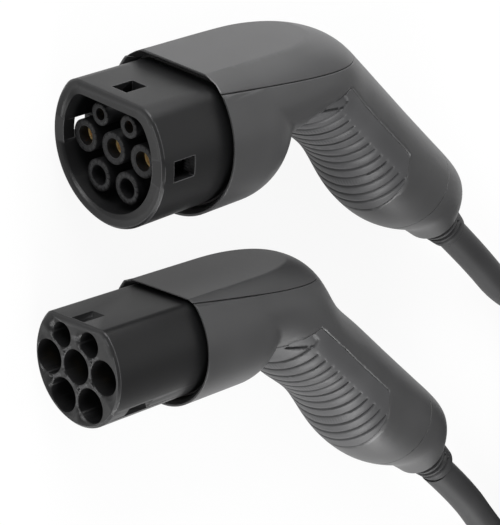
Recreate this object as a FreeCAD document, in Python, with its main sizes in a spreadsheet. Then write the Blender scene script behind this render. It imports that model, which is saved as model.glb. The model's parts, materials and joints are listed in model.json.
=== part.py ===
import FreeCAD, Part
import math
import os
import re
import Sketcher

V = FreeCAD.Vector
DOC = FreeCAD.newDocument("charging_cable")
SHEET = DOC.addObject("Spreadsheet::Sheet", "sizes")

# A connector is drawn with its head axis on X, its nose towards -X, its flat top towards +Y and
# its visible side towards +Z. The rim of its housing is at X = 0. "Along" and "across" are
# distances down the handle and square to it, from the point where the head axis meets the rim.
SIZES = {
    # contact layout, the same in both connectors
    "contact_pitch": 16.2, "lower_row": 14.0, "signal_row": 11.4,
    "power_bore": 3.0, "signal_bore": 1.5, "power_sleeve": 4.0, "signal_sleeve": 2.5,
    "power_socket_depth": 24.0, "signal_socket_depth": 17.0, "sleeve_recess": 4.8,
    "power_tube": 6.6, "signal_tube": 4.6, "empty_tube_depth": 27.0,
    "power_barrel": 3.3, "signal_barrel": 1.7, "barrel_length": 13.0, "collar_step": 0.6,
    "contact_back": 9.0,
    "power_chamber": 7.27, "signal_chamber": 5.25, "chamber_floor": 8.0,
    "power_pin_recess": 10.0, "signal_pin_recess": 14.0, "power_seat": 3.6, "signal_seat": 1.9,
    # vehicle connector: nose, housing and placing
    "vehicle_nose_radius": 31.5, "vehicle_nose_flat": 23.5, "vehicle_nose_corner": 10.0,
    "vehicle_nose_length": 33.8, "vehicle_bore_radius": 25.3, "vehicle_bore_flat": 18.3,
    "vehicle_bore_corner": 7.0, "vehicle_tube_recess": 3.6, "vehicle_spigot": 12.0, "lip_step": 2.3,
    "vehicle_funnel_radius": 34.7, "vehicle_funnel_flat": 27.4, "vehicle_funnel_corner": 12.0,
    "vehicle_seal_radius": 33.2, "vehicle_seal_flat": 26.4, "vehicle_seal_corner": 11.0,
    "vehicle_core_bend": 57.0,
    "vehicle_head_radius": 35.6, "vehicle_head_straight": 21.0, "vehicle_dome_length": 31.0,
    "vehicle_flat": 28.3, "vehicle_lid_wall": 2.4, "vehicle_part_height": 23.0,
    "vehicle_part_drop": 4.6, "vehicle_shift_along": 0.0, "vehicle_shift_across": 0.0,
    "vehicle_roll": 10.4, "vehicle_place_x": -69.0, "vehicle_place_y": 94.9, "vehicle_turn": 0.0,
    # plug: nose, housing and placing
    "plug_nose_radius": 25.2, "plug_nose_flat": 19.3, "plug_nose_corner": 4.2,
    "plug_nose_length": 44.5, "plug_head_radius": 29.0, "plug_core_bend": 38.0,
    "plug_funnel_radius": 28.2, "plug_funnel_flat": 20.8, "plug_funnel_corner": 7.0,
    "plug_seal_radius": 26.8, "plug_seal_flat": 20.6, "plug_seal_corner": 6.0,
    "plug_head_straight": 31.0, "plug_dome_length": 28.0, "plug_flat": 21.3,
    "plug_lid_wall": 1.4, "plug_part_height": 20.2, "plug_part_drop": 6.3,
    "plug_shift_along": 7.0, "plug_shift_across": -14.5, "plug_roll": 3.1,
    "plug_place_x": -80.0, "plug_place_y": 8.7, "plug_turn": -3.65,
    # handle, the same in both connectors
    "handle_angle": 42.0, "shell_wall": 3.0, "funnel_depth": 3.6, "section_step": 8.0, "funnel_angle": 32.0,
     "cuff_joint": 155.0, "grip_depth": 1.8,
    "grip_gap": 0.25, "groove_depth": 0.8, "groove_width": 1.3, "groove_pitch": 5.8,
    "groove_count": 13.0, "groove_start": 50.0, "groove_top": 46.0,
    "grip_front": 46.0, "grip_back": 127.0, "grip_edge": 55.0,
    # strain relief, cable and clamp
    "cable_radius": 8.0, "cable_across": 51.0, "cable_inner_end": 146.0, "relief_end": 208.0,
    "relief_radius": 11.8, "relief_tip_radius": 9.2, "relief_flange": 14.5,
    "relief_flange_start": 159.0, "relief_seat": 163.0, "relief_taper_start": 186.5,
    "slot_width": 2.3, "slot_pitch": 4.3, "slot_count": 3.0, "slot_core": 8.8,
    "slot_start": 192.4, "spine_width": 3.4, "spine_angle": 35.0,
    "clamp_start": 148.5, "clamp_length": 8.0, "clamp_half_width": 16.0,
    "clamp_half_height": 11.0, "clamp_screw_offset": 12.2, "clamp_screw": 1.5,
    "clamp_screw_head": 2.8,
    # retainer plate, its screws, the nose seal, cores and resistor
    "retainer_depth": 3.0, "retainer_inset": 2.5, "retainer_screw": 1.4, "retainer_screw_head": 2.6,
    "screw_head_height": 1.6, "screw_length": 8.0, "seal_depth": 3.0, "seal_start": 5.0,
    "seal_groove": 1.0, "fit_gap": 0.2, "core_radius": 2.1, "pilot_core_radius": 1.1,
    "resistor_radius": 1.15, "resistor_length": 7.0,
    # latch windows
    "window_start": 5.6, "window_length": 10.8, "window_width": 8.4, "notch_depth": 2.6,
    "rim_chamfer": 1.0,
    # coil of the length that is put away
    "coil_middle": 80.0, "coil_turns_across": 2.0, "coil_layers": 5.0,
    "coil_place_x": 270.0, "coil_place_y": -170.0, "coil_edge": 6.0,
}

# Sections of the beam that runs from the rim over the bend: top point, low point, half width.
BRIDGE = {
    "vehicle": {
        "rim": (0, 31.5, 0, -12.5, 33.3), "front": (22, 31.5, 22, -12.5, 33.3),
        "back": (46, 31.5, 43, -12.5, 32.8), "crown": (70, 28.3, 53, -8.0, 31.0),
        "bend": (84, 23.4, 59, -11.5, 30.0),
    },
    "plug": {
        "rim": (0, 25.5, 0, -14.5, 27.8), "front": (22, 25.5, 22, -14.5, 27.8),
        "back": (44, 25.5, 40, -14.5, 27.8), "crown": (66, 22.3, 48, -18.0, 27.4),
        "bend": (81, 14.5, 54, -24.0, 27.2),
    },
}
# Sections of the handle: distance along, top edge across, low edge across, half width.
HANDLE = {
    "neck": (62, 74.4, 31.5, 27.5), "throat": (90, 74.4, 32.6, 25.5),
    "palm": (122, 74.4, 25.8, 25.0), "heel": (147, 74.4, 26.7, 24.5),
    "cuff": (163, 74.4, 31.3, 23.2), "tail": (174, 74.0, 36.2, 20.6),
    "tip": (182, 72.0, 36.8, 18.0), "end": (188, 66.0, 37.4, 14.6),
}

# Routes of the cable on the floor, from each strain relief to the coil, as X, Y, Z.
VEHICLE_ROUTE = [
    (145.7, -27.9, 13.0), (171.0, -54.0, 8.8), (200.0, -73.0, 8.0), (235.0, -81.0, 8.0),
    (270.0, -83.0, 8.0),
]
PLUG_ROUTE = [
    (119.5, -146.0, 20.0), (142.0, -174.0, 14.5), (164.0, -203.0, 14.0), (189.0, -229.5, 19.5),
    (216.5, -247.0, 23.0), (247.5, -255.0, 24.0),
]


def fill_sheet():
    rows = dict(SIZES)
    for kind, sections in BRIDGE.items():
        for name, numbers in sections.items():
            for part, number in zip(("top_x", "top_y", "low_x", "low_y", "half"), numbers):
                rows[f"{kind}_{name}_{part}"] = number
    for name, numbers in HANDLE.items():
        for part, number in zip(("along", "top", "low", "half"), numbers):
            rows[f"{name}_{part}"] = number
    for row, (alias, number) in enumerate(rows.items(), start=1):
        SHEET.set(f"A{row}", alias)
        SHEET.set(f"B{row}", str(float(number)))
        SHEET.setAlias(f"B{row}", alias)
    DOC.recompute()
    return set(rows)


ALIASES = fill_sheet()


def size(alias):
    return float(SHEET.get(alias))


def bind(item, prop, text):
    """Tie a property to the sheet; the words in the text that are aliases become cells."""
    def cell(match):
        word = match.group()
        return f"sizes.{word}" if word in ALIASES else word
    item.setExpression(prop, re.sub(r"[a-z_]+", cell, text))


def place(item, base):
    for axis, text in zip("xyz", base):
        bind(item, f"Placement.Base.{axis}", text)
    return item


# Directions and places on the handle

def handle_axes():
    angle = math.radians(size("handle_angle"))
    down = V(math.cos(angle), -math.sin(angle), 0)
    out = V(math.sin(angle), math.cos(angle), 0)
    return down, out


def handle_base(kind, along, across, side="0"):
    """Expressions for a point given along, across and beside the handle's axis."""
    run = f"({along} + {kind}_shift_along)"
    rise = f"({across} + {kind}_shift_across)"
    x = f"{run} * cos(handle_angle) + {rise} * sin(handle_angle)"
    y = f"-{run} * sin(handle_angle) + {rise} * cos(handle_angle)"
    return x, y, side


def handle_point(kind, along, across, side=0):
    down, out = handle_axes()
    run = along + size(f"{kind}_shift_along")
    rise = across + size(f"{kind}_shift_across")
    return down * run + out * rise + V(0, 0, side)


# Solids along the head axis and along the handle

def rod(name, radius, length, x, up="0", side="0"):
    item = DOC.addObject("Part::Cylinder", name)
    item.Placement = FreeCAD.Placement(V(), FreeCAD.Rotation(V(0, 1, 0), 90))
    bind(item, "Radius", radius)
    bind(item, "Height", length)
    return place(item, (x, up, side))


def handle_rod(kind, name, radius, length, along, across="cable_across"):
    item = DOC.addObject("Part::Cylinder", name)
    down, out = handle_axes()
    item.Placement = FreeCAD.Placement(V(), FreeCAD.Rotation(V(0, 0, 1), down))
    bind(item, "Radius", radius)
    bind(item, "Height", length)
    return place(item, handle_base(kind, along, across))


def box(name, lengths, base, turn=0.0):
    item = DOC.addObject("Part::Box", name)
    item.Placement = FreeCAD.Placement(V(), FreeCAD.Rotation(V(0, 0, 1), turn))
    for prop, text in zip(("Length", "Width", "Height"), lengths):
        bind(item, prop, text)
    return place(item, base)


def handle_box(kind, name, lengths, along, across, side):
    return box(name, lengths, handle_base(kind, along, across, side), -size("handle_angle"))


def cut(name, base, tool):
    item = DOC.addObject("Part::Cut", name)
    item.Base = base
    item.Tool = tool
    return item


def shared(name, base, tool):
    item = DOC.addObject("Part::Common", name)
    item.Base = base
    item.Tool = tool
    return item


def joined(name, pieces):
    item = DOC.addObject("Part::MultiFuse", name)
    item.Shapes = pieces
    return item


def joined_one(name, item):
    """The same solid again, so that it can be placed while the first one serves as a tool."""
    link = DOC.addObject("Part::Refine", name)
    link.Source = item
    return link


def made(name, shape):
    item = DOC.addObject("Part::Feature", name)
    item.Shape = shape
    return item


NODES = []


def node(item, label, placement):
    """Keep an object as a sub-part: its label names its file."""
    item.Label = label
    item.Placement = placement
    NODES.append(item)


def connector_placement(kind):
    roll = FreeCAD.Rotation(V(1, 0, 0), size(f"{kind}_roll"))
    turn = FreeCAD.Rotation(V(0, 0, 1), size(f"{kind}_turn"))
    x = size(f"{kind}_place_x")
    y = size(f"{kind}_place_y")
    return FreeCAD.Placement(V(x, y, size(f"{kind}_head_radius")), turn * roll)


# D-shaped outlines

def d_body(name, outline, start, length, inset="0", taper=False, chamfer=False):
    """A body padded from a D outline: a flat, two corner arcs and one large arc."""
    body = DOC.addObject("PartDesign::Body", name)
    plane = [item for item in body.Origin.OriginFeatures if item.Role == "YZ_Plane"][0]
    shrink = 0.0 if inset == "0" else size(inset)
    sketch = body.newObject("Sketcher::SketchObject", f"{name}_outline")
    sketch.AttachmentSupport = [(plane, "")]
    sketch.MapMode = "FlatFace"
    bind(sketch, "AttachmentOffset.Base.z", start)
    radius = size(f"{outline}_radius") - shrink
    flat = size(f"{outline}_flat") - shrink
    corner = size(f"{outline}_corner") - shrink
    half = math.sqrt((radius - corner) ** 2 - (flat - corner) ** 2)
    turn = math.atan2(half, flat - corner)
    up = V(0, 0, 1)
    line = sketch.addGeometry(Part.LineSegment(V(flat, -half, 0), V(flat, half, 0)))
    first = Part.ArcOfCircle(Part.Circle(V(flat - corner, half, 0), up, corner), 0, turn)
    large = Part.ArcOfCircle(Part.Circle(V(0, 0, 0), up, radius), turn, 2 * math.pi - turn)
    second = Part.ArcOfCircle(Part.Circle(V(flat - corner, -half, 0), up, corner), -turn, 0)
    first = sketch.addGeometry(first)
    large = sketch.addGeometry(large)
    second = sketch.addGeometry(second)
    for rule in (
        ("Tangent", line, 2, first, 1), ("Tangent", first, 2, large, 1),
        ("Tangent", large, 2, second, 1), ("Tangent", second, 2, line, 1),
        ("Coincident", large, 3, -1, 1), ("Equal", first, second),
    ):
        sketch.addConstraint(Sketcher.Constraint(*rule))
    sizes = (
        ("radius", ("Radius", large, radius)), ("corner", ("Radius", first, corner)),
        ("flat", ("DistanceX", -1, 1, line, 1, flat)),
    )
    for word, rule in sizes:
        index = sketch.addConstraint(Sketcher.Constraint(*rule))
        bind(sketch, f"Constraints[{index}]", f"{outline}_{word} - {inset}")
    pad = body.newObject("PartDesign::Pad", f"{name}_pad")
    pad.Profile = sketch
    bind(pad, "Length", length)
    if taper:
        bind(pad, "TaperAngle", "-funnel_angle")
    if chamfer:
        DOC.recompute()
        front = pad.Shape.BoundBox.XMin
        edges = []
        for index, edge in enumerate(pad.Shape.Edges, start=1):
            if edge.BoundBox.XMax < front + 0.001:
                edges.append(f"Edge{index}")
        bevel = body.newObject("PartDesign::Chamfer", f"{name}_bevel")
        bevel.Base = (pad, edges)
        bind(bevel, "Size", "rim_chamfer")
    return body


# Housing: a straight head with a domed end, and a beam that bends down into the handle

def station(kind, name):
    """One section of the beam: its top point, low point and half width."""
    if name in BRIDGE[kind]:
        row = f"{kind}_{name}"
        top = V(size(f"{row}_top_x"), size(f"{row}_top_y"), 0)
        low = V(size(f"{row}_low_x"), size(f"{row}_low_y"), 0)
        return top, low, size(f"{row}_half")
    along = size(f"{name}_along")
    top = handle_point(kind, along, size(f"{name}_top"))
    low = handle_point(kind, along, size(f"{name}_low"))
    return top, low, size(f"{name}_half")


def slopes(places, heights):
    """Slopes of a curve through the points that never swings past them."""
    steps = [(b - a) for a, b in zip(places, places[1:])]
    rises = [(b - a) / step for a, b, step in zip(heights, heights[1:], steps)]
    inner = []
    for before, after, left, right in zip(rises, rises[1:], steps, steps[1:]):
        if before * after <= 0:
            inner.append(0.0)
        else:
            one = 2 * right + left
            two = right + 2 * left
            inner.append((one + two) / (one / before + two / after))
    return [rises[0]] + inner + [rises[-1]]


def between(places, heights, spot):
    tangents = slopes(places, heights)
    index = max(i for i, place in enumerate(places[:-1]) if place <= spot + 1e-9)
    step = places[index + 1] - places[index]
    part = (spot - places[index]) / step
    low, high = heights[index], heights[index + 1]
    return ((2 * part ** 3 - 3 * part ** 2 + 1) * low
            + (part ** 3 - 2 * part ** 2 + part) * step * tangents[index]
            + (3 * part ** 2 - 2 * part ** 3) * high
            + (part ** 3 - part ** 2) * step * tangents[index + 1])


def beam(kind, tag, inset, last="end"):
    """A smooth solid along the elliptical sections, its skin moved in by the inset."""
    names = list(BRIDGE[kind]) + list(HANDLE)
    stations = [station(kind, name) for name in names]
    places = [0.0]
    for before, after in zip(stations, stations[1:]):
        places.append(places[-1] + ((after[0] + after[1]) * 0.5).distanceToPoint(
            (before[0] + before[1]) * 0.5))
    rows = [[top.x, top.y, low.x, low.y, half] for top, low, half in stations]
    columns = list(zip(*rows))
    reach = places[names.index(last)]
    count = max(4, round(reach / size("section_step")))
    rings = []
    for index in range(count + 1):
        spot = reach * index / count
        top_x, top_y, low_x, low_y, half = [between(places, column, spot) for column in columns]
        top = V(top_x, top_y, 0)
        low = V(low_x, low_y, 0)
        tall = top.distanceToPoint(low) / 2 - inset
        across = (top - low).normalize()
        rings.append(ellipse_poles((top + low) * 0.5, across * tall, V(0, 0, inset - half)))
    return made(f"{kind}_beam_{tag}", skinned(rings))


def ellipse_poles(centre, rise, side):
    """Poles of an exact ellipse, as four quarter arcs, starting on its far side."""
    ring = [side, side + rise, rise, rise - side, -side, -side - rise, -rise, side - rise, side]
    return [centre + pole for pole in ring]


def skinned(rings):
    """Solid whose skin has the rings' poles as its own, closed by a flat face at each end."""
    count = len(rings)
    corner = math.sqrt(0.5)
    weights = [[1.0, corner] * 4 + [1.0] for ring in rings]
    poles = [list(row) for row in zip(*rings)]
    weights = [list(row) for row in zip(*weights)]
    skin = Part.BSplineSurface()
    skin.buildFromPolesMultsKnots(
        poles, [3, 2, 2, 2, 3], [4] + [1] * (count - 4) + [4], [0, 1, 2, 3, 4],
        list(range(count - 2)), False, False, 2, 3, weights)
    side = skin.toShape()
    ends = []
    for place in (0, count - 3):
        ends.append(Part.Face(Part.Wire([skin.vIso(place).toShape()])))
    solid = Part.makeSolid(Part.makeShell([side] + ends))
    if solid.Volume < 0:
        solid.reverse()
    return solid


def head(kind, tag, inset, front="0"):
    """The round head: a cylinder with half an ellipsoid behind it."""
    radius = f"{kind}_head_radius - {inset}"
    straight = f"{kind}_head_straight"
    barrel = rod(f"{kind}_barrel_{tag}", radius, f"{straight} + {front}", f"-{front}")
    dome = DOC.addObject("Part::Ellipsoid", f"{kind}_dome_{tag}")
    dome.Placement = FreeCAD.Placement(V(), FreeCAD.Rotation(V(0, 1, 0), 90))
    bind(dome, "Radius1", f"{kind}_dome_length - {inset}")
    bind(dome, "Radius2", radius)
    bind(dome, "Radius3", radius)
    dome.Angle1 = 0
    place(dome, (straight, "0", "0"))
    return [barrel, dome]


def above(kind, name, height, turn=0.0):
    """Everything over a plane across the head, level or sloping down to the rear."""
    base = box(name, ("200", "60", "120"), ("-2", height, "-60"), turn)
    return base


def housing(kind, placement):
    outer = beam(kind, "outer", 0.0)
    cavity = beam(kind, "cavity", size("shell_wall"), "cuff")
    skin = beam(kind, "skin", size("grip_depth"))
    shallow = beam(kind, "shallow", size("groove_depth"))
    lid_inner = beam(kind, "lid", size(f"{kind}_lid_wall"), "neck")
    drop = size(f"{kind}_part_drop")
    lid_zone = above(kind, f"{kind}_lid_zone", f"{kind}_part_height", -drop)
    beyond = handle_box(
        kind, f"{kind}_beyond", ("60", "120", "120"), "cuff_joint", "-20", "-60")
    funnel = d_body(f"{kind}_funnel", f"{kind}_funnel", "0", "funnel_depth", taper=True)
    hollow = joined(f"{kind}_hollow", [cavity] + head(kind, "hollow", "shell_wall", "1") + [funnel])
    lid(kind, placement, outer, lid_inner, lid_zone)
    shell(kind, placement, outer, skin, lid_zone, beyond, hollow)
    grip(kind, placement, outer, skin, shallow)
    collar(kind, placement, outer, cavity, beyond)


def lid(kind, placement, outer, inner, zone):
    top = shared(f"{kind}_lid_block", outer, zone)
    over = above(kind, f"{kind}_over_flat", f"{kind}_flat")
    flat = cut(f"{kind}_lid_flat", top, over)
    under = above(kind, f"{kind}_over_lid_inner", f"{kind}_flat - {kind}_lid_wall")
    room = cut(f"{kind}_lid_room", inner, under)
    room = joined(f"{kind}_lid_tools", [room, DOC.getObject(f"{kind}_funnel")])
    blank = cut(f"{kind}_lid_blank", flat, room)
    node(joined_one(f"{kind}_lid_shell", blank), f"{kind}_top_cover", placement)


def shell(kind, placement, outer, skin, lid_zone, beyond, hollow):
    block = joined(f"{kind}_block", [outer] + head(kind, "outer", "0"))
    below = cut(f"{kind}_below", block, joined(f"{kind}_not_shell", [lid_zone, beyond]))
    recess = cut(f"{kind}_grip_recess", grip_zone(kind, "recess", size("grip_gap")), skin)
    open_shell = cut(f"{kind}_shell_blank", below, hollow)
    item = cut(f"{kind}_shell", open_shell, recess)
    node(item, f"{kind}_handle_shell", placement)


def side_prism(kind, name, corners):
    """A prism through the handle, drawn in the plane of its side view."""
    points = [handle_point(kind, along, across, -60) for along, across in corners]
    face = Part.Face(Part.makePolygon(points + points[:1]))
    return made(f"{kind}_{name}", face.extrude(V(0, 0, 120)))


def grip_zone(kind, name, grow):
    front = size("grip_front") - grow
    back = size("grip_back") + grow
    edge = size("grip_edge") + grow
    corners = [
        (front, -20), (front, edge - 25), (front - 7, edge - 17), (front + 2, edge),
        (back - 13, edge), (back - 5, edge - 10), (back, edge - 25), (back, -20),
    ]
    return side_prism(kind, f"{name}_outline", corners)


def grip(kind, placement, outer, skin, shallow):
    """The soft inlay round the underside, with cross grooves and one shallow panel."""
    sleeve = cut(f"{kind}_sleeve", outer, skin)
    inlay = shared(f"{kind}_inlay", sleeve, grip_zone(kind, "inlay", 0))
    slabs = []
    for index in range(int(size("groove_count"))):
        along = f"groove_start + {index} * groove_pitch"
        lengths = ("groove_width", "groove_top + 20", "120")
        slabs.append(handle_box(kind, f"{kind}_slab_{index}", lengths, along, "-20", "-60"))
    front = size("grip_front")
    edge = size("grip_edge")
    corners = [
        (front - 4, edge - 15.5), (front - 5, edge - 13), (front, edge - 4),
        (front + 5, edge - 4.5), (front + 6, edge - 8),
    ]
    slabs.append(side_prism(kind, "panel", corners))
    marks = cut(f"{kind}_marks", joined(f"{kind}_slabs", slabs), shallow)
    node(cut(f"{kind}_grip", inlay, marks), f"{kind}_grip_inlay", placement)


def collar(kind, placement, outer, cavity, beyond):
    block = shared(f"{kind}_collar_block", outer, beyond)
    length = "relief_taper_start - relief_seat + 10"
    hole = handle_rod(kind, f"{kind}_collar_hole", "relief_radius", length, "relief_seat - 5")
    room = joined(f"{kind}_collar_room", [cavity, hole])
    node(cut(f"{kind}_collar", block, room), f"{kind}_end_collar", placement)


# Strain relief, cable end and clamp

def relief(kind, placement):
    flange = handle_rod(
        kind, f"{kind}_flange", "relief_flange", "relief_seat - relief_flange_start",
        "relief_flange_start")
    neck = handle_rod(
        kind, f"{kind}_relief_neck", "relief_radius", "relief_taper_start - relief_seat",
        "relief_seat")
    taper = DOC.addObject("Part::Cone", f"{kind}_relief_taper")
    down, out = handle_axes()
    taper.Placement = FreeCAD.Placement(V(), FreeCAD.Rotation(V(0, 0, 1), down))
    bind(taper, "Radius1", "relief_radius")
    bind(taper, "Radius2", "relief_tip_radius")
    bind(taper, "Height", "relief_end - relief_taper_start")
    place(taper, handle_base(kind, "relief_taper_start", "cable_across"))
    body = joined(f"{kind}_relief_body", [flange, neck, taper])
    rings = []
    for index in range(int(size("slot_count"))):
        along = f"slot_start + {index} * slot_pitch"
        rings.append(handle_rod(
            kind, f"{kind}_ring_{index}", "relief_radius + 1", "slot_width", along))
    core = handle_rod(kind, f"{kind}_slot_core", "slot_core", "40", "slot_start - 5")
    keep = [core] + [spine(kind, side) for side in (-1, 1)]
    slots = cut(f"{kind}_slots", joined(f"{kind}_rings", rings), joined(f"{kind}_keep", keep))
    bore = handle_rod(
        kind, f"{kind}_relief_bore", "cable_radius", "relief_end - relief_flange_start",
        "relief_flange_start")
    slotted = cut(f"{kind}_relief_slotted", body, slots)
    node(cut(f"{kind}_relief", slotted, bore), f"{kind}_strain_relief", placement)


def spine(kind, side):
    """A rib between the slots, standing out from the relief's axis."""
    angle = math.radians(size("spine_angle"))
    down, out = handle_axes()
    rise = out * math.sin(angle) + V(0, 0, side * math.cos(angle))
    width = size("spine_width")
    start = handle_point(kind, size("slot_start") - 3, size("cable_across"))
    corner = start - rise.cross(down) * (width / 2)
    item = DOC.addObject("Part::Box", f"{kind}_spine_{'low' if side < 0 else 'high'}")
    turn = FreeCAD.Rotation(down, rise.cross(down) , rise, "ZXY")
    item.Placement = FreeCAD.Placement(corner, turn)
    item.Length = 30
    bind(item, "Width", "spine_width")
    bind(item, "Height", "relief_radius + 3")
    return item


def cable_end(kind, placement):
    """The sheathed end of the cable, from the clamp to the mouth of the strain relief."""
    start = handle_point(kind, size("cable_inner_end"), size("cable_across"))
    down, out = handle_axes()
    length = size("relief_end") - size("cable_inner_end")
    stub = Part.makeCylinder(size("cable_radius"), length, start, down)
    node(made(f"{kind}_stub", stub), f"{kind}_cable_end", placement)


def clamp(kind, placement):
    hole = handle_rod(kind, f"{kind}_clamp_bore", "cable_radius", "30", "clamp_start - 10")
    screws = []
    holes = []
    down, out = handle_axes()
    for side in (-1, 1):
        word = "low" if side < 0 else "high"
        beside = f"{side} * clamp_screw_offset"
        base = handle_base(kind, "clamp_start + clamp_length / 2",
                           "cable_across - clamp_half_height + 2", beside)
        shank = DOC.addObject("Part::Cylinder", f"{kind}_clamp_shank_{word}")
        shank.Placement = FreeCAD.Placement(V(), FreeCAD.Rotation(V(0, 0, 1), out))
        bind(shank, "Radius", "clamp_screw")
        bind(shank, "Height", "2 * clamp_half_height - 2")
        place(shank, base)
        cap = DOC.addObject("Part::Cylinder", f"{kind}_clamp_cap_{word}")
        cap.Placement = FreeCAD.Placement(V(), FreeCAD.Rotation(V(0, 0, 1), out))
        bind(cap, "Radius", "clamp_screw_head")
        bind(cap, "Height", "screw_head_height")
        place(cap, handle_base(kind, "clamp_start + clamp_length / 2",
                               "cable_across + clamp_half_height", beside))
        screws += [shank, cap]
        holes.append(shank)
    lengths = ("clamp_length", "clamp_half_height", "2 * clamp_half_width")
    cavity = DOC.getObject(f"{kind}_beam_cavity")
    deep = ("clamp_length", "cable_across", "2 * clamp_half_width")
    seat = handle_box(kind, f"{kind}_seat", deep, "clamp_start", "0", "-clamp_half_width")
    strap = handle_box(kind, f"{kind}_strap_block", lengths, "clamp_start", "cable_across",
                       "-clamp_half_width")
    blocks = (("saddle", shared(f"{kind}_saddle_block", seat, cavity)), ("strap", strap))
    for word, block in blocks:
        piece = cut(f"{kind}_{word}", block, joined(f"{kind}_{word}_holes", [hole] + holes))
        node(piece, f"{kind}_clamp_{word}", placement)
    node(joined(f"{kind}_clamp_screw_pair", screws), f"{kind}_clamp_screws", placement)


# Contacts

def contact_spots():
    """Name, place and whether the contact is fitted; power contacts first."""
    return [
        ("line", "0", "-contact_pitch", "power", True),
        ("earth", "0", "0", "power", True),
        ("neutral", "0", "contact_pitch", "power", True),
        ("second", "-lower_row", "-contact_pitch / 2", "power", False),
        ("third", "-lower_row", "contact_pitch / 2", "power", False),
        ("pilot", "signal_row", "-contact_pitch / 2", "signal", True),
        ("proximity", "signal_row", "contact_pitch / 2", "signal", True),
    ]


def fitted_spots():
    return [spot for spot in contact_spots() if spot[4]]


def retainer_spots():
    """Three screw places in the free room between the contacts."""
    return [("low", "-15", "0"), ("near", "8.5", "17"), ("far", "8.5", "-17")]


def back_hardware(kind, placement, outline, back):
    """Retainer plate behind the contacts, and its screws."""
    plate = d_body(f"{kind}_retainer_plate", outline, back, "retainer_depth", "retainer_inset")
    holes = []
    for name, up, side, family, fitted in fitted_spots():
        radius = f"{family}_barrel + collar_step"
        holes.append(rod(f"{kind}_plate_{name}", radius, "retainer_depth", back, up, side))
    screws = []
    for name, up, side in retainer_spots():
        start = f"{back} + retainer_depth - screw_length"
        shank = rod(f"{kind}_screw_{name}", "retainer_screw", "screw_length", start, up, side)
        cap = rod(f"{kind}_screw_cap_{name}", "retainer_screw_head", "screw_head_height",
                  f"{back} + retainer_depth", up, side)
        screws += [shank, cap]
    shanks = screws[0::2]
    piece = cut(f"{kind}_retainer", plate, joined(f"{kind}_plate_holes", holes + shanks))
    node(piece, f"{kind}_contact_retainer", placement)
    node(joined(f"{kind}_screws", screws), f"{kind}_retainer_screws", placement)
    return shanks


def vehicle_nose(placement):
    """The shroud that goes round the car's inlet, with three latch windows."""
    start = "-vehicle_nose_length"
    length = "vehicle_nose_length + vehicle_spigot"
    outer = d_body("vehicle_shroud_outer", "vehicle_nose", start, length, chamfer=True)
    inner = d_body("vehicle_shroud_inner", "vehicle_bore", f"{start} - 1",
                   "vehicle_nose_length + contact_back + 1")
    lip = d_body("vehicle_shroud_lip", "vehicle_bore", "0", "vehicle_spigot + 1", "lip_step")
    window = f"{start} + window_start"
    half = "-window_width / 2"
    top = box("vehicle_window_top", ("window_length", "20", "window_width"),
              (window, "vehicle_bore_flat - 5", half))
    side = box("vehicle_window_side", ("window_length", "window_width", "80"),
               (window, half, "-40"))
    groove = seal_groove("vehicle")
    tool = joined("vehicle_shroud_openings", [inner, lip, top, side, groove])
    node(cut("vehicle_shroud_cut", outer, tool), "vehicle_nose_shroud", placement)


def seal_groove(kind):
    ring = d_body(f"{kind}_groove_ring", f"{kind}_nose", "seal_start", "seal_depth")
    core = d_body(f"{kind}_groove_core", f"{kind}_nose", "seal_start", "seal_depth",
                  "seal_groove")
    return cut(f"{kind}_seal_groove", ring, core)


def nose_seal(kind, placement):
    """Rubber ring in the nose's groove, filling the gap to the housing."""
    ring = d_body(f"{kind}_seal_ring", f"{kind}_seal", "seal_start", "seal_depth")
    core = d_body(f"{kind}_seal_core", f"{kind}_nose", "seal_start - 1", "seal_depth + 2",
                  "seal_groove")
    walls = [DOC.getObject(f"{kind}_shell_blank"), DOC.getObject(f"{kind}_lid_blank"), core]
    node(cut(f"{kind}_seal", ring, joined(f"{kind}_seal_walls", walls)), f"{kind}_nose_seal",
         placement)


def vehicle_insert(placement):
    """Base disc with seven tubes; five of them hold a contact."""
    face = "-vehicle_nose_length + vehicle_tube_recess"
    back = "contact_back"
    disc = d_body("vehicle_insert_disc", "vehicle_bore", "0", back, "fit_gap")
    tubes = []
    bores = []
    for name, up, side, family, fitted in contact_spots():
        length = "vehicle_nose_length - vehicle_tube_recess + 1"
        tubes.append(rod(f"vehicle_tube_{name}", f"{family}_tube", length, face, up, side))
        depth = f"{length} + vehicle_spigot" if fitted else "empty_tube_depth"
        bores.append(rod(f"vehicle_bore_{name}", f"{family}_sleeve", depth, face, up, side))
    shanks = back_hardware("vehicle", placement, "vehicle_bore", back)
    body = joined("vehicle_insert_body", [disc] + tubes)
    openings = joined("vehicle_insert_bores", bores + shanks)
    node(cut("vehicle_insert", body, openings), "vehicle_contact_insert", placement)


def vehicle_contacts(placement):
    for name, up, side, family, fitted in fitted_spots():
        start = "-vehicle_nose_length + vehicle_tube_recess + sleeve_recess"
        back = "contact_back"
        tag = f"vehicle_{name}"
        sleeve = rod(f"{tag}_sleeve", f"{family}_sleeve", f"{back} - ({start})", start, up, side)
        collar_radius = f"{family}_barrel + collar_step"
        step = rod(f"{tag}_step", collar_radius, "retainer_depth", back, up, side)
        barrel = rod(f"{tag}_barrel", f"{family}_barrel", "barrel_length",
                     f"{back} + retainer_depth", up, side)
        bore = rod(f"{tag}_bore", f"{family}_bore", f"{family}_socket_depth", start, up, side)
        body = joined(f"{tag}_body", [sleeve, step, barrel])
        node(cut(f"{tag}_contact_cut", body, bore), f"{tag}_contact", placement)


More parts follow.
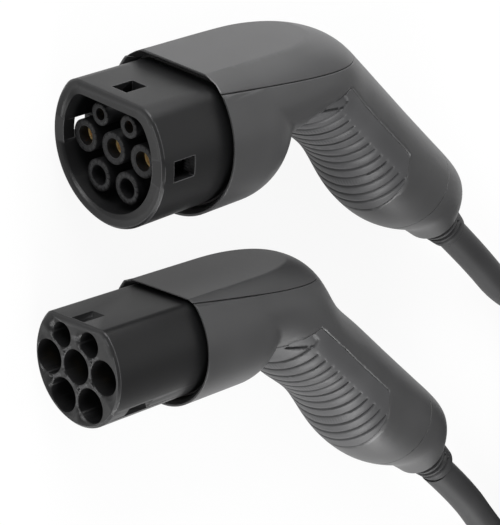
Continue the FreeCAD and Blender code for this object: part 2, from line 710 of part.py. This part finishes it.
def plug_nose(placement):
    """The solid nose of the plug, with seven chambers and three latch notches."""
    start = "-plug_nose_length"
    back = "contact_back"
    outer = d_body("plug_nose_outer", "plug_nose", start, f"plug_nose_length + {back}",
                   chamfer=True)
    tools = []
    for name, up, side, family, fitted in contact_spots():
        depth = "plug_nose_length - chamber_floor"
        tools.append(rod(f"plug_chamber_{name}", f"{family}_chamber", depth, start, up, side))
        if fitted:
            tools.append(rod(f"plug_hole_{name}", f"{family}_seat",
                             f"chamber_floor + {back}", "-chamber_floor", up, side))
    tools.append(box("plug_notch_top", ("window_length", "20", "window_width - 1"),
                     (f"{start} + 1.4", "plug_nose_flat - 2.4", "-(window_width - 1) / 2")))
    for side in (-1, 1):
        tools.append(side_notch(side))
    shanks = back_hardware("plug", placement, "plug_nose", back)
    tool = joined("plug_nose_openings", tools + shanks + [seal_groove("plug")])
    node(cut("plug_nose_cut", outer, tool), "plug_nose_block", placement)


def side_notch(side):
    """A latch notch low on one side of the plug's nose, square to its round wall."""
    word = "low" if side < 0 else "high"
    angle = math.radians(-40)
    out = V(0, math.sin(angle), side * math.cos(angle))
    item = DOC.addObject("Part::Box", f"plug_notch_{word}")
    turn = FreeCAD.Rotation(V(1, 0, 0), out.cross(V(1, 0, 0)), out, "XZY")
    reach = size("plug_nose_radius") - size("notch_depth")
    width = 6.0
    corner = V(8.6 - size("plug_nose_length"), 0, 0) + out * reach
    corner = corner - turn.multVec(V(0, width / 2, 0))
    item.Placement = FreeCAD.Placement(corner, turn)
    item.Length = 12.5
    item.Width = width
    item.Height = 12
    return item


def plug_pins(placement):
    for name, up, side, family, fitted in fitted_spots():
        back = "contact_back"
        start = f"-plug_nose_length + {family}_pin_recess"
        tag = f"plug_{name}"
        free = f"plug_nose_length - {family}_pin_recess - chamber_floor"
        pin = rod(f"{tag}_shank", f"{family}_bore", free, start, up, side)
        seat = rod(f"{tag}_seat", f"{family}_seat", f"{back} + chamber_floor", "-chamber_floor",
                   up, side)
        step = rod(f"{tag}_step", f"{family}_barrel + collar_step", "retainer_depth", back,
                   up, side)
        barrel = rod(f"{tag}_barrel", f"{family}_barrel", "barrel_length",
                     f"{back} + retainer_depth", up, side)
        node(joined(f"{tag}_pin_body", [pin, seat, step, barrel]), f"{tag}_pin", placement)


# Cores, resistor and cable: tubes along straight runs joined by tangent arcs

def tube(points, radius, report=None):
    runs = [(b - a).Length for a, b in zip(points, points[1:])]
    edges = []
    start = points[0]
    radii = []
    for index in range(1, len(points) - 1):
        before = (points[index] - points[index - 1]).normalize()
        after = (points[index + 1] - points[index]).normalize()
        turn = before.getAngle(after)
        shorter = min(runs[index - 1], runs[index])
        bend = 0.45 * shorter / math.tan(turn / 2)
        radii.append(bend)
        enter = points[index] - before * (0.45 * shorter)
        leave = points[index] + after * (0.45 * shorter)
        inward = (after - before).normalize()
        centre = points[index] + inward * (bend / math.cos(turn / 2))
        middle = centre - inward * bend
        edges.append(Part.LineSegment(start, enter).toShape())
        edges.append(Part.Arc(enter, middle, leave).toShape())
        start = leave
    edges.append(Part.LineSegment(start, points[-1]).toShape())
    path = Part.Wire(edges)
    ring = Part.Circle(points[0], points[1] - points[0], radius).toShape()
    solid = path.makePipeShell([Part.Wire([ring])], True, False)
    if report:
        fit = solid.Volume / (math.pi * radius ** 2 * path.Length)
        print(report, "length", round(path.Length, 1), "volume ratio", round(fit, 4),
              "radii", [round(value) for value in radii])
    return solid


def core_route(kind, up, side, offset):
    """From the back of a contact, through the bend, to its place in the cable's end."""
    back = size("contact_back") + size("retainer_depth") + size("barrel_length")
    across = size("cable_across")
    bend = size(f"{kind}_core_bend")
    rise, aside = offset
    first = V(back, up, side)
    second = V(back + 13, up * 0.8, side * 0.88)
    third = handle_point(kind, bend, across + rise + 0.6, (side + aside) * 0.5)
    fourth = handle_point(kind, bend + 38, across + rise + 1.2, aside * 1.3)
    last = handle_point(kind, size("cable_inner_end"), across + rise, aside)
    return [first, second, third, fourth, last]


def cores(kind, placement):
    pitch = size("contact_pitch")
    spots = (
        ("line", 0, -pitch, (-0.6, -4.7), "core_radius"),
        ("earth", 0, 0, (-1.4, 0.0), "core_radius"),
        ("neutral", 0, pitch, (-0.6, 4.7), "core_radius"),
        ("pilot", size("signal_row"), -pitch / 2, (3.6, -1.2), "pilot_core_radius"),
    )
    for name, up, side, offset, radius in spots:
        route = core_route(kind, up, side, offset)
        item = made(f"{kind}_{name}_wire", tube(route, size(radius)))
        node(item, f"{kind}_{name}_core", placement)


def resistor(kind, placement):
    """Coding resistor behind the proximity contact, its lead soldered to the earth barrel."""
    back = size("contact_back") + size("retainer_depth") + size("barrel_length")
    up = size("signal_row")
    side = size("contact_pitch") / 2
    wire = 0.5
    away = V(0, up, side).normalize()
    near = away * (size("power_barrel") + 0.7 * wire)
    end = back + size("resistor_length") + 2.0
    body = Part.makeCylinder(size("resistor_radius"), size("resistor_length"),
                             V(back, up, side), V(1, 0, 0))
    out = Part.makeCylinder(wire, 2.0, V(end - 2.0, up, side), V(1, 0, 0))
    across = Part.makeCylinder(wire, V(0, up, side).Length - near.Length, V(end, 0, 0) + near, away)
    along = Part.makeCylinder(wire, end - back + 3.0, V(end, 0, 0) + near, V(-1, 0, 0))
    knees = [Part.makeSphere(wire, V(end, up, side)), Part.makeSphere(wire, V(end, 0, 0) + near)]
    barrel = Part.makeCylinder(size("power_barrel"), 60, V(0, 0, 0), V(1, 0, 0))
    shape = body.fuse([out, across, along] + knees).cut(barrel)
    node(made(f"{kind}_resistor", shape), f"{kind}_coding_resistor", placement)


def cable_mouth(kind):
    """Where the cable leaves the strain relief, in the frame of the whole object."""
    tip = handle_point(kind, size("relief_end"), size("cable_across"))
    return connector_placement(kind).multVec(tip)


def cable():
    straight = FreeCAD.Placement()
    radius = size("cable_radius")
    across = size("coil_turns_across") * 2 * radius
    centre = V(size("coil_place_x"), size("coil_place_y"), 0)
    height = size("coil_layers") * 2 * radius
    middle = size("coil_middle")
    ring = Part.makeCylinder(middle + across / 2, height, centre)
    ring = ring.cut(Part.makeCylinder(middle - across / 2, height, centre))
    rims = [edge for edge in ring.Edges if isinstance(edge.Curve, Part.Circle)]
    ring = ring.makeFillet(size("coil_edge"), rims)
    node(made("coil_ring", ring), "cable_coil", straight)
    for kind, route in (("vehicle", VEHICLE_ROUTE), ("plug", PLUG_ROUTE)):
        points = [cable_mouth(kind)] + [V(*point) for point in route]
        run = tube(points, radius, f"{kind} cable").cut(ring)
        node(made(f"{kind}_cable_tube", run), f"{kind}_cable_run", straight)


def finish():
    DOC.recompute()
    for item in DOC.Objects:
        state = [word for word in item.State if word in ("Invalid", "Error")]
        if state:
            raise RuntimeError(f"{item.Name} did not build: {item.State}")
    os.makedirs("parts", exist_ok=True)
    for item in NODES:
        shape = item.Shape
        if shape.isNull() or not shape.isValid() or shape.Volume <= 0:
            raise RuntimeError(f"{item.Label} has no valid shape")
        shape.exportStep(os.path.join("parts", f"{item.Label}.step"))
        print(f"{item.Label:28s} solids {len(shape.Solids)} volume {shape.Volume:10.0f}")


def connector(kind):
    placement = connector_placement(kind)
    housing(kind, placement)
    nose_seal(kind, placement)
    relief(kind, placement)
    cable_end(kind, placement)
    clamp(kind, placement)
    cores(kind, placement)
    resistor(kind, placement)
    return placement


vehicle = connector("vehicle")
vehicle_nose(vehicle)
vehicle_insert(vehicle)
vehicle_contacts(vehicle)
plug = connector("plug")
plug_nose(plug)
plug_pins(plug)
cable()
finish()
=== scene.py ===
import json
import math

import bmesh
import bpy
from mathutils import Matrix, Vector


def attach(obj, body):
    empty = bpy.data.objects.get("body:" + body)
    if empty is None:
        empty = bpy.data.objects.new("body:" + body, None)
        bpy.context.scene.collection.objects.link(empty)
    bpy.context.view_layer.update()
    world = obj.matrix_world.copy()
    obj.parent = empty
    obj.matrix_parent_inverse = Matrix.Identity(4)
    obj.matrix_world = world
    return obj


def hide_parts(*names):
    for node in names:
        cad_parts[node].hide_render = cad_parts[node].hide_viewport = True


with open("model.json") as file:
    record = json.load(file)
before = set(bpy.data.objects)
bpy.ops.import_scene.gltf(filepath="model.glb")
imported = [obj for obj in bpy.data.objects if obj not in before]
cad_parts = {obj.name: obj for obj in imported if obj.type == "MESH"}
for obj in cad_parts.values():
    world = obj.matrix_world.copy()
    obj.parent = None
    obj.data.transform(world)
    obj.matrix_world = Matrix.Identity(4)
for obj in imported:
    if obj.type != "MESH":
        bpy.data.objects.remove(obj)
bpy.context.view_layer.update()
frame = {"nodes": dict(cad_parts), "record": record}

# Lengths are in metres. The two connectors lie on their sides, noses towards -X, and both handles
# leave their heads at the same angle.
HANDLE_ANGLE = math.radians(42.0)
CABLE_DIAMETER = 0.016

# The cable's way over the floor, from each strain relief to the coil
VEHICLE_ROUTE = [
    (0.1197, -0.0047, 0.0173), (0.1457, -0.0279, 0.0130), (0.1710, -0.0540, 0.0088),
    (0.2000, -0.0730, 0.0080), (0.2350, -0.0810, 0.0080), (0.2700, -0.0830, 0.0080),
]
PLUG_ROUTE = [
    (0.0956, -0.1213, 0.0227), (0.1195, -0.1460, 0.0200), (0.1420, -0.1740, 0.0145),
    (0.1640, -0.2030, 0.0140), (0.1890, -0.2295, 0.0195), (0.2165, -0.2470, 0.0230),
    (0.2475, -0.2550, 0.0240),
]
# The coil: two turns side by side and five high, wound up inside and down outside. The cable
# comes in at COIL_START and leaves at COIL_END. It changes from one turn to the next over
# COIL_SHIFT, and where it climbs on one radius it swings CLIMB_SWING away from the turn beside it.
COIL_CENTRE = (0.270, -0.170)
COIL_MIDDLE = 0.080
COIL_LAYERS = 5
COIL_START = math.radians(90.0)
COIL_END = math.radians(255.0)
COIL_SHIFT = math.radians(180.0)
CLIMB_SWING = 0.45 * CABLE_DIAMETER
TURN_POINTS = 18

# Sizes of the solids that the parting lines follow, in a connector's side view: X runs to the
# rear from the head's front edge, and Y runs up to the flat top. A cover's joint has its height
# at COVER_JOINT_START, 2 mm before that edge, and drops to the rear by an angle in degrees. An
# end collar starts COLLAR_START along the vehicle connector's handle, and the plug's handle is
# shifted from there, along and across.
PARTING_GAP = 0.00035
COVER_JOINT_START = -0.002
VEHICLE_JOINT_HEIGHT = 0.0230
VEHICLE_JOINT_DROP = 4.6
PLUG_JOINT_HEIGHT = 0.0202
PLUG_JOINT_DROP = 6.3
COLLAR_START = 0.155
PLUG_HANDLE_SHIFT = (0.007, -0.0145)

# Corners of facets nearer than MERGE_DISTANCE are one. The covers' flat tops meet their sides at
# 22 degrees, so covers keep creases from a smaller angle than the other pieces.
MERGE_DISTANCE = 0.000002
CUT_TOLERANCE = 0.000001
COVER_CREASE = math.radians(19.0)
CREASE = math.radians(32.0)
LARGE_FACE_WEIGHT = 60

# Moulded plastic: a painted highlight turns the colour of its edges towards this grey. Broad flow
# patches make its colour darker or lighter by PATCH_CONTRAST, and grain and patches vary its
# roughness.
EDGE_HIGHLIGHT_GREY = (0.16, 0.16, 0.165, 1.0)
EDGE_HIGHLIGHT_SHARPNESS = 8.0
PATCH_SCALE = 28.0
PATCH_CONTRAST = 0.12
PATCH_ROUGHNESS = 0.04
GRAIN_ROUGHNESS = 0.12
GRAIN_STRENGTH = 0.35

# The camera that fits the photograph, with its lens on a sensor of 36 mm
CAMERA_PLACE = (-0.5365, 0.2816, 0.5574)
CAMERA_TURN = (-14.782, -45.417, -6.365)
CAMERA_LENS = 132.44
CAMERA_SENSOR = 36.0

# The floor shows this much of plain white to the camera and to glossy pieces, and its own lit
# colour for the rest, which holds the shadow.
FLOOR_COLOUR = (0.92, 0.92, 0.92, 1.0)
FLOOR_ROUGHNESS = 0.9
FLOOR_HALF_WIDTH = 6.0
WHITE = (1.0, 1.0, 1.0, 1.0)
WHITE_TO_CAMERA = 0.92
WHITE_TO_GLOSS = 0.6

# Lamps: name, place, size and power in watts. All of them point at LAMP_AIM.
LAMP_AIM = (0.0, 0.0, 0.03)
LAMPS = [
    ("top_softbox", (-0.1, 1.15, 0.5), (1.3, 0.6), 23.0),
    ("side_softbox", (0.7, 0.2, 1.0), (0.9, 0.9), 1.5),
    ("front_fill", (-1.3, 0.1, 0.7), (0.8, 0.8), 1.6),
    ("low_fill", (-0.3, -1.1, 0.5), (1.0, 0.5), 17.0),
]
ROOM_LIGHT = 0.33


class Term:
    """A value in a shader tree that can be used in sums and products."""

    def __init__(self, tree, socket):
        self.tree = tree
        self.socket = socket

    def maths(self, operation, first, second):
        return add_node(self.tree, "ShaderNodeMath", {"operation": operation},
                        {0: first, 1: second})

    def __add__(self, other):
        return self.maths("ADD", self, other)

    def __radd__(self, other):
        return self.maths("ADD", self, other)

    def __sub__(self, other):
        return self.maths("SUBTRACT", self, other)

    def __rsub__(self, other):
        return self.maths("SUBTRACT", other, self)

    def __mul__(self, other):
        return self.maths("MULTIPLY", self, other)

    def __rmul__(self, other):
        return self.maths("MULTIPLY", self, other)


def add_node(tree, kind, settings=None, inlets=None, outlet=0):
    """A node with its settings first, then a value or a Term on each named or numbered inlet."""
    item = tree.nodes.new(kind)
    for word, value in (settings or {}).items():
        if word == "stops":
            set_stops(item.color_ramp, value)
        else:
            setattr(item, word, value)
    for word, value in (inlets or {}).items():
        if isinstance(value, Term):
            tree.links.new(value.socket, item.inputs[word])
        else:
            item.inputs[word].default_value = value
    return Term(tree, item.outputs[outlet])


def set_stops(ramp, stops):
    """Colour stops, of which a new ramp already has two."""
    for index, (place, colour) in enumerate(stops):
        stop = ramp.elements[index] if index < 2 else ramp.elements.new(place)
        stop.position = place
        stop.color = (*colour, 1.0)


def noise(tree, scale, detail):
    """Cloudy noise that is fixed to the piece."""
    place = add_node(tree, "ShaderNodeTexCoord", outlet="Object")
    return add_node(tree, "ShaderNodeTexNoise",
                    inlets={"Vector": place, "Scale": scale, "Detail": detail})


def ramp(tree, factor, *stops):
    """A colour between stops, each a place and a colour."""
    return add_node(tree, "ShaderNodeValToRGB", {"stops": stops}, {"Fac": factor})


def blank_material(name):
    """A new material, its shader tree and its surface shader."""
    material = bpy.data.materials.new(name)
    material.use_nodes = True
    tree = material.node_tree
    return material, tree, tree.nodes["Principled BSDF"]


def feed(shader, word, term):
    term.tree.links.new(term.socket, shader.inputs[word])


def shaded(colour, factor):
    return [channel * factor for channel in colour]


def moulded(name, colour, roughness, grain, grain_depth, sheen=0.5, edge=0.0006, painted_highlight=0.3):
    """Moulded plastic: fine spark grain, faint flow patches, edges a little lighter as a painted
    highlight.
    """
    material, tree, shader = blank_material(name)
    fine = noise(tree, scale=grain, detail=3.0)
    broad = noise(tree, scale=PATCH_SCALE, detail=2.0)
    round_edge = add_node(tree, "ShaderNodeBevel", {"samples": 4}, {"Radius": edge})
    bump = add_node(tree, "ShaderNodeBump",
                    inlets={"Strength": GRAIN_STRENGTH, "Distance": grain_depth, "Height": fine,
                            "Normal": round_edge})
    tint = ramp(tree, broad, (0.35, shaded(colour, 1.0 - PATCH_CONTRAST)),
                (0.65, shaded(colour, 1.0 + PATCH_CONTRAST)))
    facing = add_node(tree, "ShaderNodeNewGeometry", outlet="Normal")
    alike = add_node(tree, "ShaderNodeVectorMath", {"operation": "DOT_PRODUCT"},
                     {0: round_edge, 1: facing}, outlet="Value")
    # Painted highlight: the colour turns lighter where the rounded normal parts from the facet's
    # own.
    highlit_edges = add_node(tree, "ShaderNodeClamp",
                      inlets={"Value": (1.0 - alike) * EDGE_HIGHLIGHT_SHARPNESS, "Min": 0.0, "Max": 1.0})
    colour_with_highlight = add_node(tree, "ShaderNodeMix", {"data_type": "RGBA"},
                    {0: highlit_edges * painted_highlight, 6: tint, 7: EDGE_HIGHLIGHT_GREY}, outlet=2)
    feed(shader, "Base Color", colour_with_highlight)
    smoothest = roughness - GRAIN_ROUGHNESS / 2
    feed(shader, "Roughness", fine * GRAIN_ROUGHNESS + smoothest + broad * PATCH_ROUGHNESS)
    feed(shader, "Normal", bump)
    shader.inputs["Specular IOR Level"].default_value = sheen
    return material


def gold(name):
    """Gold plating on turned brass, with faint rings from the lathe."""
    material, tree, shader = blank_material(name)
    place = add_node(tree, "ShaderNodeTexCoord", outlet="Object")
    rings = add_node(tree, "ShaderNodeTexWave", {"bands_direction": "X"},
                     {"Vector": place, "Scale": 260.0, "Distortion": 1.2})
    tint = ramp(tree, rings, (0.0, (0.95, 0.66, 0.27)), (1.0, (1.0, 0.80, 0.42)))
    feed(shader, "Base Color", tint)
    feed(shader, "Roughness", rings * 0.12 + 0.42)
    shader.inputs["Metallic"].default_value = 0.6
    return material


def zinc(name):
    """Zinc plated steel of the screws, slightly cloudy."""
    material, tree, shader = blank_material(name)
    cloud = noise(tree, scale=900.0, detail=2.0)
    feed(shader, "Base Color",
         ramp(tree, cloud, (0.3, (0.42, 0.43, 0.45)), (0.7, (0.60, 0.61, 0.62))))
    feed(shader, "Roughness", cloud * 0.2 + 0.25)
    shader.inputs["Metallic"].default_value = 1.0
    return material


def insulated(name, colour):
    """Core insulation: smooth extruded plastic with a faint powdery variation."""
    material, tree, shader = blank_material(name)
    powder = noise(tree, scale=700.0, detail=2.0)
    feed(shader, "Base Color", ramp(tree, powder, (0.3, shaded(colour, 0.85)), (0.7, colour)))
    feed(shader, "Roughness", powder * 0.1 + 0.38)
    return material


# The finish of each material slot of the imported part
MATERIALS = {
    "housing": moulded("satin_housing", (0.040, 0.040, 0.041), 0.40, 5200.0, 0.00005, sheen=0.55),
    # The nose's edges get the strongest painted highlight.
    "nose": moulded("grained_nose", (0.007, 0.007, 0.0074), 0.38, 3000.0, 0.00012, sheen=0.33,
                    edge=0.0005, painted_highlight=0.75),
    "grip": moulded("soft_grip", (0.052, 0.052, 0.054), 0.50, 4200.0, 0.00006, sheen=0.45),
    "insert": moulded("black_insert", (0.006, 0.006, 0.0065), 0.48, 4000.0, 0.00004, sheen=0.2,
                      edge=0.0004),
    "contact": gold("gold_contacts"),
    "sheath": moulded("cable_sheath", (0.030, 0.030, 0.031), 0.50, 1600.0, 0.00010, sheen=0.3),
    "relief": moulded("soft_relief", (0.024, 0.024, 0.025), 0.55, 3600.0, 0.00006, sheen=0.35),
    "clamp": moulded("clamp_nylon", (0.25, 0.25, 0.26), 0.50, 2600.0, 0.00005),
    "screw": zinc("zinc_screws"),
    "seal": moulded("seal_rubber", (0.016, 0.016, 0.016), 0.62, 2400.0, 0.00005, sheen=0.3),
    "brown": insulated("line_insulation", (0.16, 0.07, 0.03)),
    "blue": insulated("neutral_insulation", (0.03, 0.09, 0.32)),
    "green": insulated("earth_insulation", (0.18, 0.34, 0.04)),
    "white": insulated("pilot_insulation", (0.70, 0.70, 0.67)),
    "resistor": insulated("resistor_lacquer", (0.22, 0.40, 0.50)),
}


def add_camera():
    """The photograph's viewpoint: in front of the noses, above and to the side."""
    camera = bpy.data.cameras.new("photo_view")
    camera.sensor_fit = "HORIZONTAL"
    camera.sensor_width = CAMERA_SENSOR
    camera.lens = CAMERA_LENS
    camera.clip_start = 0.05
    item = bpy.data.objects.new("photo_view", camera)
    item.location = CAMERA_PLACE
    item.rotation_euler = [math.radians(turn) for turn in CAMERA_TURN]
    bpy.context.scene.collection.objects.link(item)
    bpy.context.scene.camera = item


def smooth_step(part):
    return part * part * (3.0 - 2.0 * part)


def coil_places():
    """Radius and height of each turn, in the order in which the cable is wound."""
    outer = COIL_MIDDLE + CABLE_DIAMETER / 2
    inner = COIL_MIDDLE - CABLE_DIAMETER / 2
    places = [(outer, 0)] + [(inner, layer) for layer in range(COIL_LAYERS)]
    places += [(outer, layer) for layer in range(COIL_LAYERS - 1, 0, -1)]
    return [(radius, (layer + 0.5) * CABLE_DIAMETER) for radius, layer in places]


def coil_points():
    """Each turn keeps its place and crosses to the next one in its second half."""
    places = coil_places()
    around = 2.0 * math.pi
    sweep = around * len(places) - (COIL_END - COIL_START)
    steps = round(sweep / around * TURN_POINTS)
    # The spline runs a little inside its points, so the points stand a little further out.
    spread = 1.0 / math.cos(math.pi / TURN_POINTS)
    points = []
    for step in range(1, steps):
        swept = sweep * step / steps
        turn = int(swept / around)
        here = places[turn]
        there = places[min(turn + 1, len(places) - 1)]
        spent = max(0.0, 1.0 - ((turn + 1) * around - swept) / COIL_SHIFT)
        part = smooth_step(spent)
        radius = here[0] + (there[0] - here[0]) * part
        height = here[1] + (there[1] - here[1]) * part
        if here[0] == there[0]:
            swing = CLIMB_SWING / 2 * (1.0 - math.cos(spent * around))
            radius += swing if here[0] > COIL_MIDDLE else -swing
        angle = COIL_START - swept
        points.append((COIL_CENTRE[0] + radius * spread * math.cos(angle),
                       COIL_CENTRE[1] + radius * spread * math.sin(angle), height))
    return points


def add_cable():
    """The whole cable as one tube, from the vehicle connector through the coil to the plug."""
    line = bpy.data.curves.new("charging_cable", "CURVE")
    line.dimensions = "3D"
    line.bevel_depth = CABLE_DIAMETER / 2
    line.bevel_resolution = 7
    line.resolution_u = 6
    line.use_fill_caps = True
    points = VEHICLE_ROUTE + coil_points() + PLUG_ROUTE[::-1]
    spline = line.splines.new("NURBS")
    spline.points.add(len(points) - 1)
    for spot, point in zip(spline.points, points):
        spot.co = (*point, 1.0)
    spline.order_u = 3
    spline.use_endpoint_u = True
    cable = bpy.data.objects.new("charging_cable", line)
    bpy.context.scene.collection.objects.link(cable)
    line.materials.append(MATERIALS["sheath"])
    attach(cable, "root")
    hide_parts("vehicle_cable_run", "cable_coil", "plug_cable_run")


def connector_pose(place, turn, roll):
    """Where a connector lies, by its turn on the floor and its roll in degrees."""
    turned = Matrix.Rotation(math.radians(turn), 4, "Z")
    return Matrix.Translation(place) @ turned @ Matrix.Rotation(math.radians(roll), 4, "X")


def joint_plane(pose, spot, facing):
    """A point and the normal of a joint's plane, from a spot and an angle in the side view."""
    point = pose @ Vector((*spot, 0.0))
    normal = pose.to_3x3() @ Vector((math.cos(facing), math.sin(facing), 0.0))
    return point, normal


def cover_plane(pose, height, drop):
    """A top cover's joint with its handle shell, which slopes down to the rear."""
    return joint_plane(pose, (COVER_JOINT_START, height), math.radians(90.0 - drop))


def collar_plane(pose, shift_along=0.0, shift_across=0.0):
    """An end collar's joint, square to the handle's own line."""
    along = COLLAR_START + shift_along
    rearwards, down = math.cos(HANDLE_ANGLE), math.sin(HANDLE_ANGLE)
    spot = (along * rearwards + shift_across * down, shift_across * rearwards - along * down)
    return joint_plane(pose, spot, math.pi - HANDLE_ANGLE)


def parting_planes():
    """Where each trimmed moulding meets its neighbour."""
    vehicle = connector_pose(place=(-0.069, 0.0949, 0.0356), turn=0.0, roll=10.4)
    plug = connector_pose(place=(-0.080, 0.0087, 0.029), turn=-3.65, roll=3.1)
    return {
        "vehicle_handle_shell": cover_plane(vehicle, VEHICLE_JOINT_HEIGHT, VEHICLE_JOINT_DROP),
        "plug_handle_shell": cover_plane(plug, PLUG_JOINT_HEIGHT, PLUG_JOINT_DROP),
        "vehicle_end_collar": collar_plane(vehicle),
        "plug_end_collar": collar_plane(plug, *PLUG_HANDLE_SHIFT),
    }


def open_parting_line(shape, plane):
    """Trim a moulding a little at its joint, so that a dark line shows between the two."""
    place, up = plane
    geometry = shape.verts[:] + shape.edges[:] + shape.faces[:]
    trimmed = bmesh.ops.bisect_plane(
        shape, geom=geometry, dist=CUT_TOLERANCE, plane_co=place - up * PARTING_GAP, plane_no=up,
        clear_outer=True)
    rim = [item for item in trimmed["geom_cut"] if isinstance(item, bmesh.types.BMEdge)]
    bmesh.ops.triangle_fill(shape, use_beauty=True, edges=rim, normal=up)


def add_finished(node, slot, plane):
    """A copy of a solid with its facets joined, so that its curved walls shade smoothly."""
    mesh = bpy.data.meshes.new(f"{node}_finished")
    shape = bmesh.new()
    shape.from_mesh(frame["nodes"][node].data)
    bmesh.ops.remove_doubles(shape, verts=shape.verts, dist=MERGE_DISTANCE)
    if plane:
        open_parting_line(shape, plane)
    shape.to_mesh(mesh)
    shape.free()
    mesh.polygons.foreach_set("use_smooth", [True] * len(mesh.polygons))
    mesh.set_sharp_from_angle(angle=COVER_CREASE if node.endswith("top_cover") else CREASE)
    mesh.materials.clear()
    mesh.materials.append(MATERIALS[slot])
    piece = bpy.data.objects.new(f"{node}_finished", mesh)
    bpy.context.scene.collection.objects.link(piece)
    even = piece.modifiers.new("even_shading", "WEIGHTED_NORMAL")
    even.keep_sharp = True
    even.weight = LARGE_FACE_WEIGHT
    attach(piece, "root")
    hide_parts(node)


def add_all_finished():
    """Every piece but the three lengths of cable, which add_cable makes as one."""
    cords = {"vehicle_cable_run", "cable_coil", "plug_cable_run"}
    planes = parting_planes()
    for part in frame["record"]["subparts"]:
        if part["node"] not in cords:
            add_finished(part["node"], part["material_slot"], planes.get(part["node"]))


def add_floor():
    """A white floor that stays white to the camera but takes the object's soft shadow."""
    mesh = bpy.data.meshes.new("studio_floor")
    shape = bmesh.new()
    bmesh.ops.create_grid(shape, x_segments=1, y_segments=1, size=FLOOR_HALF_WIDTH)
    shape.to_mesh(mesh)
    shape.free()
    floor = bpy.data.objects.new("studio_floor", mesh)
    bpy.context.scene.collection.objects.link(floor)
    material, tree, shader = blank_material("white_floor")
    shader.inputs["Base Color"].default_value = FLOOR_COLOUR
    shader.inputs["Roughness"].default_value = FLOOR_ROUGHNESS
    seen = add_node(tree, "ShaderNodeLightPath", outlet="Is Camera Ray") * WHITE_TO_CAMERA
    mirrored = add_node(tree, "ShaderNodeLightPath", outlet="Is Glossy Ray") * WHITE_TO_GLOSS
    glow = add_node(tree, "ShaderNodeEmission", inlets={"Color": WHITE, "Strength": 1.0})
    lit = Term(tree, shader.outputs["BSDF"])
    surface = add_node(tree, "ShaderNodeMixShader", inlets={0: seen + mirrored, 1: lit, 2: glow})
    feed(tree.nodes["Material Output"], "Surface", surface)
    mesh.materials.append(material)


def add_lamp(name, place, size, power):
    """A rectangular softbox that points at the connectors."""
    lamp = bpy.data.lights.new(name, "AREA")
    lamp.shape = "RECTANGLE"
    lamp.size, lamp.size_y = size
    lamp.energy = power
    item = bpy.data.objects.new(name, lamp)
    item.location = place
    item.rotation_euler = (Vector(LAMP_AIM) - Vector(place)).to_track_quat("-Z", "Y").to_euler()
    bpy.context.scene.collection.objects.link(item)


def add_room_light():
    """A plain white world at a low level, as the walls of a studio give."""
    world = bpy.data.worlds.new("studio")
    bpy.context.scene.world = world
    world.use_nodes = True
    backdrop = world.node_tree.nodes["Background"]
    backdrop.inputs["Color"].default_value = WHITE
    backdrop.inputs["Strength"].default_value = ROOM_LIGHT


bpy.context.scene.view_settings.view_transform = "Standard"
add_camera()
add_cable()
add_all_finished()
add_floor()
for lamp in LAMPS:
    add_lamp(*lamp)
add_room_light()
